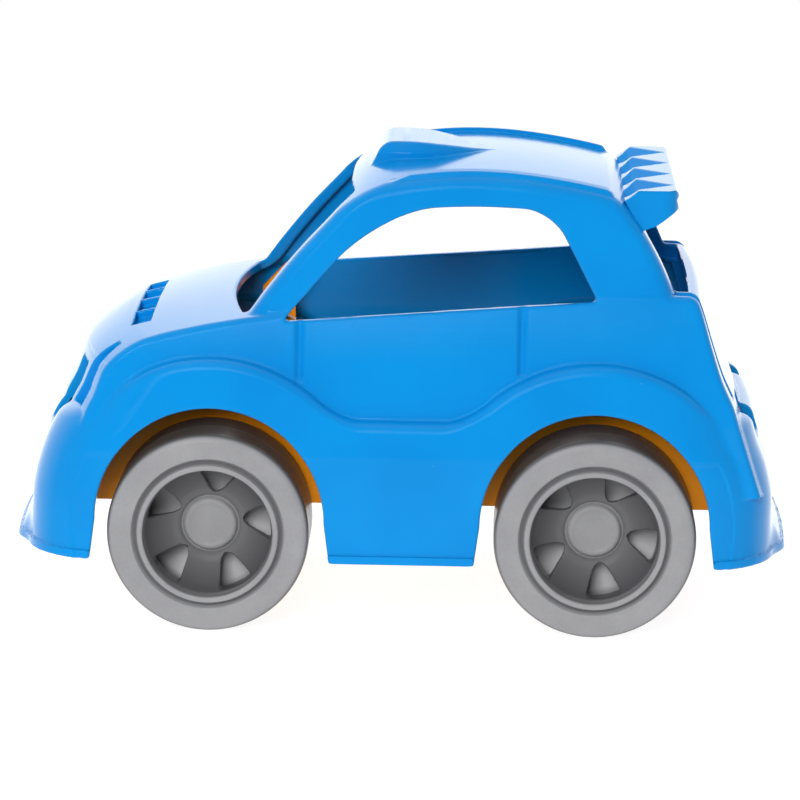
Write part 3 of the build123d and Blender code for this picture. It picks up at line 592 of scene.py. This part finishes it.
def wheel_form(axle_x, first_angle):
    """The field of one wheel face."""

    def form(x, y, z):
        """Turned skin, a hollow behind, a ring of five windows, and the bore for the axle."""
        w = np.abs(y)
        along, up = x - axle_x, z - WHEEL_Z
        r = np.hypot(along, up)
        tyre = meet(w - FACE_Y, r - WHEEL_RADIUS, TYRE_EDGE)
        lip = meet(w - FACE_Y - RIM_HIGH, np.abs(r - RIM_RADIUS) - RIM_HALF, 0.3)
        tyre = join(tyre, np.maximum(lip, 25 - w), 0.15)
        dish = (curve(np.clip(r, 0, FACE[-1][0]), FACE) - w) * 0.78
        well = meet(r - WELL_RADIUS, dish, 0.25)
        face = cut(tyre, well, 0.3)
        ring = np.hypot(r - RING_RADIUS, (w - FACE_Y - 0.05) * 0.7) - RING_HALF
        face = cut(face, ring, 0.12)
        ceiling = HOLLOW_Y + HOLLOW_RISE * np.clip((r - 4.2) / 5.2, 0, 1)
        behind = np.maximum(np.maximum(r - HOLLOW_RADIUS, w - ceiling), HUB_RADIUS - r)
        face = np.maximum(face, -behind)
        back = np.where(r < HUB_RADIUS, 22.0, np.where(r < HOLLOW_RADIUS, 22.5, SPLIT_Y))
        face = np.maximum(face, back - w)
        turn = np.arctan2(up, along) - math.radians(first_angle)
        turn = turn - np.round(turn / (math.tau / WINDOWS)) * (math.tau / WINDOWS)
        out, across = r * np.cos(turn), np.abs(r * np.sin(turn))
        sides = (across - (WINDOW_HALF + WINDOW_SPREAD * (out - 5.6))) * 0.88
        window = meet(meet(sides, r - WINDOW_OUTER, 0.5), WINDOW_INNER - out, 1.2)
        face = cut(face, np.maximum(window, w - FACE_Y), 0.2)
        return np.maximum(face, -np.maximum(r - BORE_RADIUS, w - BORE_Y))

    return form


for end, axle_x in WHEELS.items():
    for name, sign in (("left", -1), ("right", 1)):
        low_y, high_y = sorted((sign * 21.4, sign * 31.6))
        face = mould(f"{end}_{name}_face_moulding", wheel_form(axle_x, WINDOW_ANGLES[end]),
                     (axle_x - 16.2, low_y, -0.6), (axle_x + 16.2, high_y, 31.8), 0.26)
        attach(face, f"{end}_wheels")
        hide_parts(f"{end}_{name}_wheel_face")
        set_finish(face, "grey_plastic")

# %% [markdown]
# ## Writing finishes
# Blender's shader maths is a graph of small nodes, which is slow to read. The class below wraps one
# output of a node, so a pattern can be written as an ordinary sum or product, and the Math nodes are
# made on the way. Every other node, on a piece or in the room, comes from add_node().

# %% A small language for materials


def add_node(tree, kind, settings=None, inputs=None):
    """A node of that kind: its settings first, then each socket's value or link."""
    node = tree.nodes.new(kind)
    for name, value in (settings or {}).items():
        setattr(node, name, value)
    for name, value in (inputs or {}).items():
        source = value.socket if isinstance(value, Value) else value
        if isinstance(source, bpy.types.NodeSocket):
            tree.links.new(source, node.inputs[name])
        else:
            node.inputs[name].default_value = source
    return node


class Value:
    """One number that varies over a surface. Arithmetic on it adds Math nodes."""

    def __init__(self, finish, socket):
        self.finish, self.socket = finish, socket

    def maths(self, operation, *inputs, clamp=False):
        node = self.finish.node("ShaderNodeMath", {"operation": operation, "use_clamp": clamp},
                                {i: v for i, v in enumerate(inputs)})
        return Value(self.finish, node.outputs[0])

    def __add__(self, other):
        return self.maths("ADD", self, other)

    def __sub__(self, other):
        return self.maths("SUBTRACT", self, other)

    def __rsub__(self, other):
        return self.maths("SUBTRACT", other, self)

    def __mul__(self, other):
        return self.maths("MULTIPLY", self, other)

    def __pow__(self, other):
        return self.maths("POWER", self, other)

    __radd__, __rmul__ = __add__, __mul__

    def between(self, low, high):
        """0 at low, 1 at high, and straight between."""
        return self.maths("MULTIPLY", self - low, 1 / (high - low), clamp=True)


class Finish:
    """A material under construction."""

    def __init__(self, name, **constants):
        self.material = bpy.data.materials.new(name)
        self.material.use_nodes = True
        self.tree = self.material.node_tree
        self.shader = self.tree.nodes["Principled BSDF"]
        for socket, value in constants.items():
            self.shader.inputs[socket.replace("_", " ")].default_value = value
        self.place = self.node("ShaderNodeTexCoord").outputs["Object"]

    def node(self, kind, settings=None, inputs=None):
        """A node of that kind in this material."""
        return add_node(self.tree, kind, settings, inputs)

    def noise(self, size, detail=2.0, roughness=0.5):
        """Soft blotches of about that size in millimetres, from 0 to 1."""
        inputs = {"Vector": self.place, "Scale": MM_PER_METRE / size, "Detail": detail}
        made = self.node("ShaderNodeTexNoise", {}, inputs | {"Roughness": roughness})
        return Value(self, made.outputs[0])

    def specks(self, spacing, radius):
        """Little round grains, one to a cell of that spacing: 1 at a grain's middle and 0 at its radius."""
        inputs = {"Vector": self.place, "Scale": MM_PER_METRE / spacing}
        made = self.node("ShaderNodeTexVoronoi", {"feature": "F1"}, inputs)
        return 1 - Value(self, made.outputs["Distance"]).between(0, radius / spacing)

    def blend(self, share, first, second):
        """One colour turning into another as share goes from 0 to 1."""
        made = self.node("ShaderNodeMix", {"data_type": "RGBA"}, {0: share, 6: first, 7: second})
        return made.outputs[2]

    def axis(self, name):
        """The object coordinate along X, Y or Z, in metres."""
        return Value(self, self.node("ShaderNodeSeparateXYZ", {}, {0: self.place}).outputs[name])

    def finish(self, colour, roughness, height=None, depth=0.05, metallic=None):
        """Link what varies into the shader. depth is in millimetres."""
        for name, value in (("Base Color", colour), ("Roughness", roughness), ("Metallic", metallic)):
            if value is None:
                continue
            source = value.socket if isinstance(value, Value) else value
            if isinstance(source, bpy.types.NodeSocket):
                self.tree.links.new(source, self.shader.inputs[name])
            else:
                self.shader.inputs[name].default_value = source
        if height is not None:
            inputs = {"Height": height, "Distance": depth * MM, "Strength": 1.0}
            bump = self.node("ShaderNodeBump", {}, inputs)
            self.tree.links.new(bump.outputs[0], self.shader.inputs["Normal"])
        print("finish", self.material.name, "with", len(self.tree.nodes), "nodes")
        return self.material


# %% [markdown]
# ## Glossy blue plastic
# Polished steel moulds give the body its mirror gloss. Close up it isn't perfect: the pigment swirls
# faintly where the melt flowed, the skin waves a little like orange peel, and dust sticks to it.

# %% Blue
BLUE, BLUE_DEEP, DUST = (0.002, 0.265, 0.69, 1), (0.002, 0.24, 0.65, 1), (0.55, 0.70, 0.85, 1)


def glossy(name, light, deep, dust, gloss):
    """Moulded gloss plastic: two shades mixed by slow noise, dust grains, and a faint orange peel."""
    f = Finish(name, IOR=1.5)
    flow = f.noise(16, 2)
    grains = f.specks(4.3, 0.11).between(0.25, 0.6) * f.noise(9, 1).between(0.52, 0.6)
    colour = f.blend(grains * 0.7, f.blend(flow.between(0.35, 0.65), light, deep), dust)
    rough = f.noise(5, 3) * 0.05 + gloss + grains * 0.4
    return f.finish(colour, rough, f.noise(2.2, 2) * 0.6 + grains * 0.5, 0.012)


blue = glossy("blue_plastic", BLUE, BLUE_DEEP, DUST, 0.13)

# %% [markdown]
# ## Satin grey wheels
# The wheel plastic holds a little metal flake, which drifts with the melt and leaves soft streaks. The
# dish carries painted shade, darker than the tyre wall and darkest at the rim, and so do the groove and the
# tread; the web behind the windows carries painted light.

# %% Grey
GREY, GREY_LIGHT = (0.30, 0.30, 0.315, 1), (0.37, 0.37, 0.385, 1)
# Painted shade for the dish, lighter near the hub and darker near the rim, also used in the groove.
DISH_HUB_PAINTED_SHADE, DISH_RIM_PAINTED_SHADE = (0.22, 0.22, 0.23, 1), (0.11, 0.11, 0.12, 1)
# Painted shade for the tread, and painted light for the web behind the windows.
TREAD_PAINTED_SHADE, WEB_PAINTED_LIGHT = (0.10, 0.095, 0.09, 1), (0.62, 0.62, 0.64, 1)


def satin_grey(name, axle_x, dished):
    """Two greys by slow noise, and painted shade on the tread. On a wheel face the groove and the dish, found
    by their distance from the axle, get painted shade too. On a wheel back the web behind the windows gets
    painted light, paler."""
    f = Finish(name, IOR=1.5)
    x, z = f.axis("X") - axle_x * MM, f.axis("Z") - WHEEL_Z * MM
    out = (x * x + z * z) ** 0.5 * MM_PER_METRE
    flow = f.noise(7, 3).between(0.3, 0.7)
    flake = f.noise(0.35, 1).between(0.35, 0.75)
    colour = f.blend(flow * 0.6 + flake * 0.25, GREY, GREY_LIGHT)
    # Painted shade: the tread, in shadow under the arch, is darkened all round.
    colour = f.blend(out.between(15.0, 15.4), colour, TREAD_PAINTED_SHADE)
    metallic = 0.1
    if not dished:
        # Painted light: the web behind the windows is made paler than the grey.
        colour = f.blend(1 - out.between(10.0, 11.0), colour, WEB_PAINTED_LIGHT)
    else:
        # Painted shade in the groove round the rim lip.
        groove = 1 - ((out - 11.25) ** 2).between(0.01, 0.16)
        colour = f.blend(groove * 0.9, colour, DISH_RIM_PAINTED_SHADE)
        # Painted shade in the dish, darker towards the rim than at the hub.
        dish = (1 - out.between(9.7, 10.1)) * out.between(4.3, 4.6)
        shade = f.blend(out.between(4.5, 9.5), DISH_HUB_PAINTED_SHADE, DISH_RIM_PAINTED_SHADE)
        colour = f.blend(dish, colour, shade)
        metallic = dish * 0.2 + 0.1
    rough = f.noise(3, 2) * 0.12 + 0.30
    grain = flake * 0.5 + f.noise(1.5, 2) * 0.5
    return f.finish(colour, rough, grain, 0.01, metallic=metallic)


greys = {(end, dished): satin_grey(f"grey_{end}_{'faces' if dished else 'backs'}", at, dished)
         for end, at in WHEELS.items() for dished in (True, False)}


def grey(name):
    """The grey for a wheel piece of that name."""
    return greys[name.split("_")[0], "face" in name]


# %% [markdown]
# ## Amber, black, white and steel
# The chassis is the same kind of glossy plastic in amber. Inside, the motor is matt black, its gears are
# natural acetal, and the shafts, screws and spring are steel with fine drawing lines along them.

# %% The rest
AMBER, AMBER_DEEP = (0.96, 0.32, 0.004, 1), (0.88, 0.27, 0.003, 1)
amber = glossy("amber_plastic", AMBER, AMBER_DEEP, (0.95, 0.8, 0.55, 1), 0.2)


def matt(name, light, deep, rough):
    """Fine-grained matt plastic: two shades by noise and a sparkly fine bump."""
    f = Finish(name, IOR=1.48)
    grain = f.noise(0.5, 3)
    return f.finish(f.blend(f.noise(6, 2).between(0.3, 0.7), light, deep), grain * 0.15 + rough, grain, 0.03)


black = matt("motor_plastic", (0.018, 0.018, 0.02, 1), (0.028, 0.028, 0.031, 1), 0.5)
white = matt("gear_plastic", (0.78, 0.76, 0.70, 1), (0.70, 0.68, 0.62, 1), 0.38)


def steel(name, light, deep, rough, lines):
    """Metal with marks stretched along the car's width: noise squeezed to a tenth across the shafts."""
    f = Finish(name, IOR=1.5, Metallic=1.0)
    turned = f.node("ShaderNodeMapping", {}, {"Vector": f.place, "Scale": (1, 0.1, 1)}).outputs[0]
    drawn = f.node("ShaderNodeTexNoise", {}, {"Vector": turned, "Scale": lines, "Detail": 2.0})
    marks = Value(f, drawn.outputs[0])
    return f.finish(f.blend(marks.between(0.3, 0.7), light, deep), marks * 0.15 + rough, marks, 0.01)


zinc = steel("steel", (0.72, 0.73, 0.74, 1), (0.55, 0.56, 0.58, 1), 0.2, 3000.0)
spring = steel("spring_steel", (0.30, 0.33, 0.40, 1), (0.18, 0.20, 0.26, 1), 0.25, 2500.0)

# %% [markdown]
# ## Who wears what
# The record names a finish for every piece of the skeleton, and each moulding made here was given the
# name of one. The wheels' greys are looked up by axle and by face or back, because the painted shade of
# the dish is measured from the axle's place.

# %% Put every finish on
SLOTS = {"blue_plastic": blue, "amber_plastic": amber, "motor_plastic": black, "gear_plastic": white,
         "steel": zinc, "spring_steel": spring}
record_slots = {row["node"]: row["material_slot"] for row in frame["record"]["subparts"]}
for name, obj in nodes.items():
    slot = record_slots[name]
    finish = grey(name) if slot == "grey_plastic" else SLOTS[slot]
    obj.data.materials.clear()
    obj.data.materials.append(finish)
for obj in bpy.context.scene.objects:
    if "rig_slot" in obj:
        finish = grey(obj.name) if obj["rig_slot"] == "grey_plastic" else SLOTS[obj["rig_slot"]]
        obj.data.materials.append(finish)
print("finishes on", len(nodes), "nodes")

# %% [markdown]
# ## Studio
# The toy stands in a white cove. The floor is a plain square that glows softly and fades out before
# its edge, so no horizon shows. The wall behind the toy is the brightest thing in the room, so every
# surface that faces up mirrors it at a flat angle and turns almost white, while the sides, which mirror
# the dimmer room in front, keep their colour.

# %% Floor
FLOOR_HALF, FLOOR_FADE = 2.0, (0.12, 0.55)
floor_mesh = bpy.data.meshes.new("floor")
floor_corners = [(i * FLOOR_HALF, j * FLOOR_HALF, 0) for i, j in ((-1, -1), (1, -1), (1, 1), (-1, 1))]
floor_mesh.from_pydata(floor_corners, [], [(0, 1, 2, 3)])
floor = bpy.data.objects.new("floor", floor_mesh)
bpy.context.scene.collection.objects.link(floor)
pale = Finish("pale_floor", Roughness=0.9, Base_Color=(0.3, 0.3, 0.3, 1), Emission_Color=(1, 1, 1, 1),
              Emission_Strength=0.9)
x, y = pale.axis("X"), pale.axis("Y")
away = (x * x + y * y) ** 0.5
gone = pale.node("ShaderNodeBsdfTransparent")
layers = {0: away.between(*FLOOR_FADE), 1: pale.shader.outputs[0], 2: gone.outputs[0]}
fading = pale.node("ShaderNodeMixShader", {}, layers)
output = next(n for n in pale.tree.nodes if n.type == "OUTPUT_MATERIAL")
pale.tree.links.new(fading.outputs[0], output.inputs["Surface"])
floor_mesh.materials.append(pale.material)
floor.visible_glossy = False
print("the floor fades out between", FLOOR_FADE[0], "and", FLOOR_FADE[1], "m from the toy")

# %% The room: dim in front, bright behind, and plain white to look at
ROOM_STRENGTH = 1.7
DIM, BRIGHT, HALFWAY = (0.0, 0.03), (0.95, 1.0), (0.5, 0.12)
world = bpy.data.worlds.new("room")
world.use_nodes = True
bpy.context.scene.world = world
room = world.node_tree
for old in list(room.nodes):
    room.nodes.remove(old)
look = add_node(room, "ShaderNodeTexCoord")
parts = add_node(room, "ShaderNodeSeparateXYZ", inputs={0: look.outputs["Generated"]})
halved = {0: parts.outputs["Y"], 1: 0.5, 2: 0.5}
depth = add_node(room, "ShaderNodeMath", {"operation": "MULTIPLY_ADD"}, halved)
ramp = add_node(room, "ShaderNodeValToRGB", inputs={0: depth.outputs[0]})
stops = ramp.color_ramp.elements
stops[0].position, stops[0].color = DIM[0], (DIM[1], DIM[1], DIM[1], 1)
stops[1].position, stops[1].color = BRIGHT[0], (BRIGHT[1], BRIGHT[1], BRIGHT[1], 1)
stops.new(HALFWAY[0]).color = (HALFWAY[1], HALFWAY[1], HALFWAY[1], 1)
lit = add_node(room, "ShaderNodeBackground", inputs={"Strength": ROOM_STRENGTH, "Color": ramp.outputs[0]})
plain = add_node(room, "ShaderNodeBackground", inputs={"Color": (1, 1, 1, 1)})
rays = add_node(room, "ShaderNodeLightPath")
layers = {0: rays.outputs["Is Camera Ray"], 1: lit.outputs[0], 2: plain.outputs[0]}
choose = add_node(room, "ShaderNodeMixShader", inputs=layers)
add_node(room, "ShaderNodeOutputWorld", inputs={0: choose.outputs[0]})
print("room of strength", ROOM_STRENGTH, "with", len(room.nodes), "nodes")

# %% [markdown]
# ## Lamps
# Two square lamps fill in the side that is looked at. Large lamps give soft shading, but a glossy skin
# would mirror their outlines, so they are hidden from reflections and only the room is mirrored.

# %% Lamps


def lamp(name, at, size, power):
    """A square soft light that looks at the middle of the toy and isn't mirrored in it."""
    data = bpy.data.lights.new(name, "AREA")
    data.size, data.energy = size, power
    obj = bpy.data.objects.new(name, data)
    bpy.context.scene.collection.objects.link(obj)
    obj.location = at
    obj.rotation_euler = (Vector((0, 0, 0.03)) - Vector(at)).to_track_quat("-Z", "Y").to_euler()
    obj.visible_glossy = False
    print("lamp", name, "of", power, "W")


lamp("overhead", (-0.1, -0.2, 0.8), 0.5, 1.2)
lamp("fill", (-0.2, -1.0, 0.5), 0.5, 9.8)

# %% [markdown]
# ## Camera
# A long lens from far off keeps the near and far wheels almost the same size, as in a catalogue. The
# camera stands a little above the toy and turns round the point AIM: YAW goes round it, ELEVATION
# lifts it and ROLL tips it sideways.

# %% Camera
LENS, SENSOR = 174.25, 36.0
AIM = Vector((-0.00072, 0.0, 0.030244))
DISTANCE, YAW, ELEVATION, ROLL = 0.620, math.radians(1.309), math.radians(12.6), math.radians(0.762)
level = math.cos(ELEVATION)
back = Vector((math.sin(YAW) * level, -math.cos(YAW) * level, math.sin(ELEVATION)))
right = Vector((math.cos(YAW), math.sin(YAW), 0))
up = back.cross(right)
right, up = (math.cos(ROLL) * right + math.sin(ROLL) * up, math.cos(ROLL) * up - math.sin(ROLL) * right)
camera_data = bpy.data.cameras.new("camera")
camera_data.lens, camera_data.sensor_width = LENS, SENSOR
camera_data.clip_start, camera_data.clip_end = 0.05, 20
camera = bpy.data.objects.new("camera", camera_data)
bpy.context.scene.collection.objects.link(camera)
stand = AIM + DISTANCE * back
camera.matrix_world = Matrix((
    (right.x, up.x, back.x, stand.x),
    (right.y, up.y, back.y, stand.y),
    (right.z, up.z, back.z, stand.z),
    (0, 0, 0, 1),
))
bpy.context.scene.camera = camera
bpy.context.scene.view_settings.view_transform = "Standard"
print("camera", round(1000 * DISTANCE), "mm away with a", LENS, "mm lens")
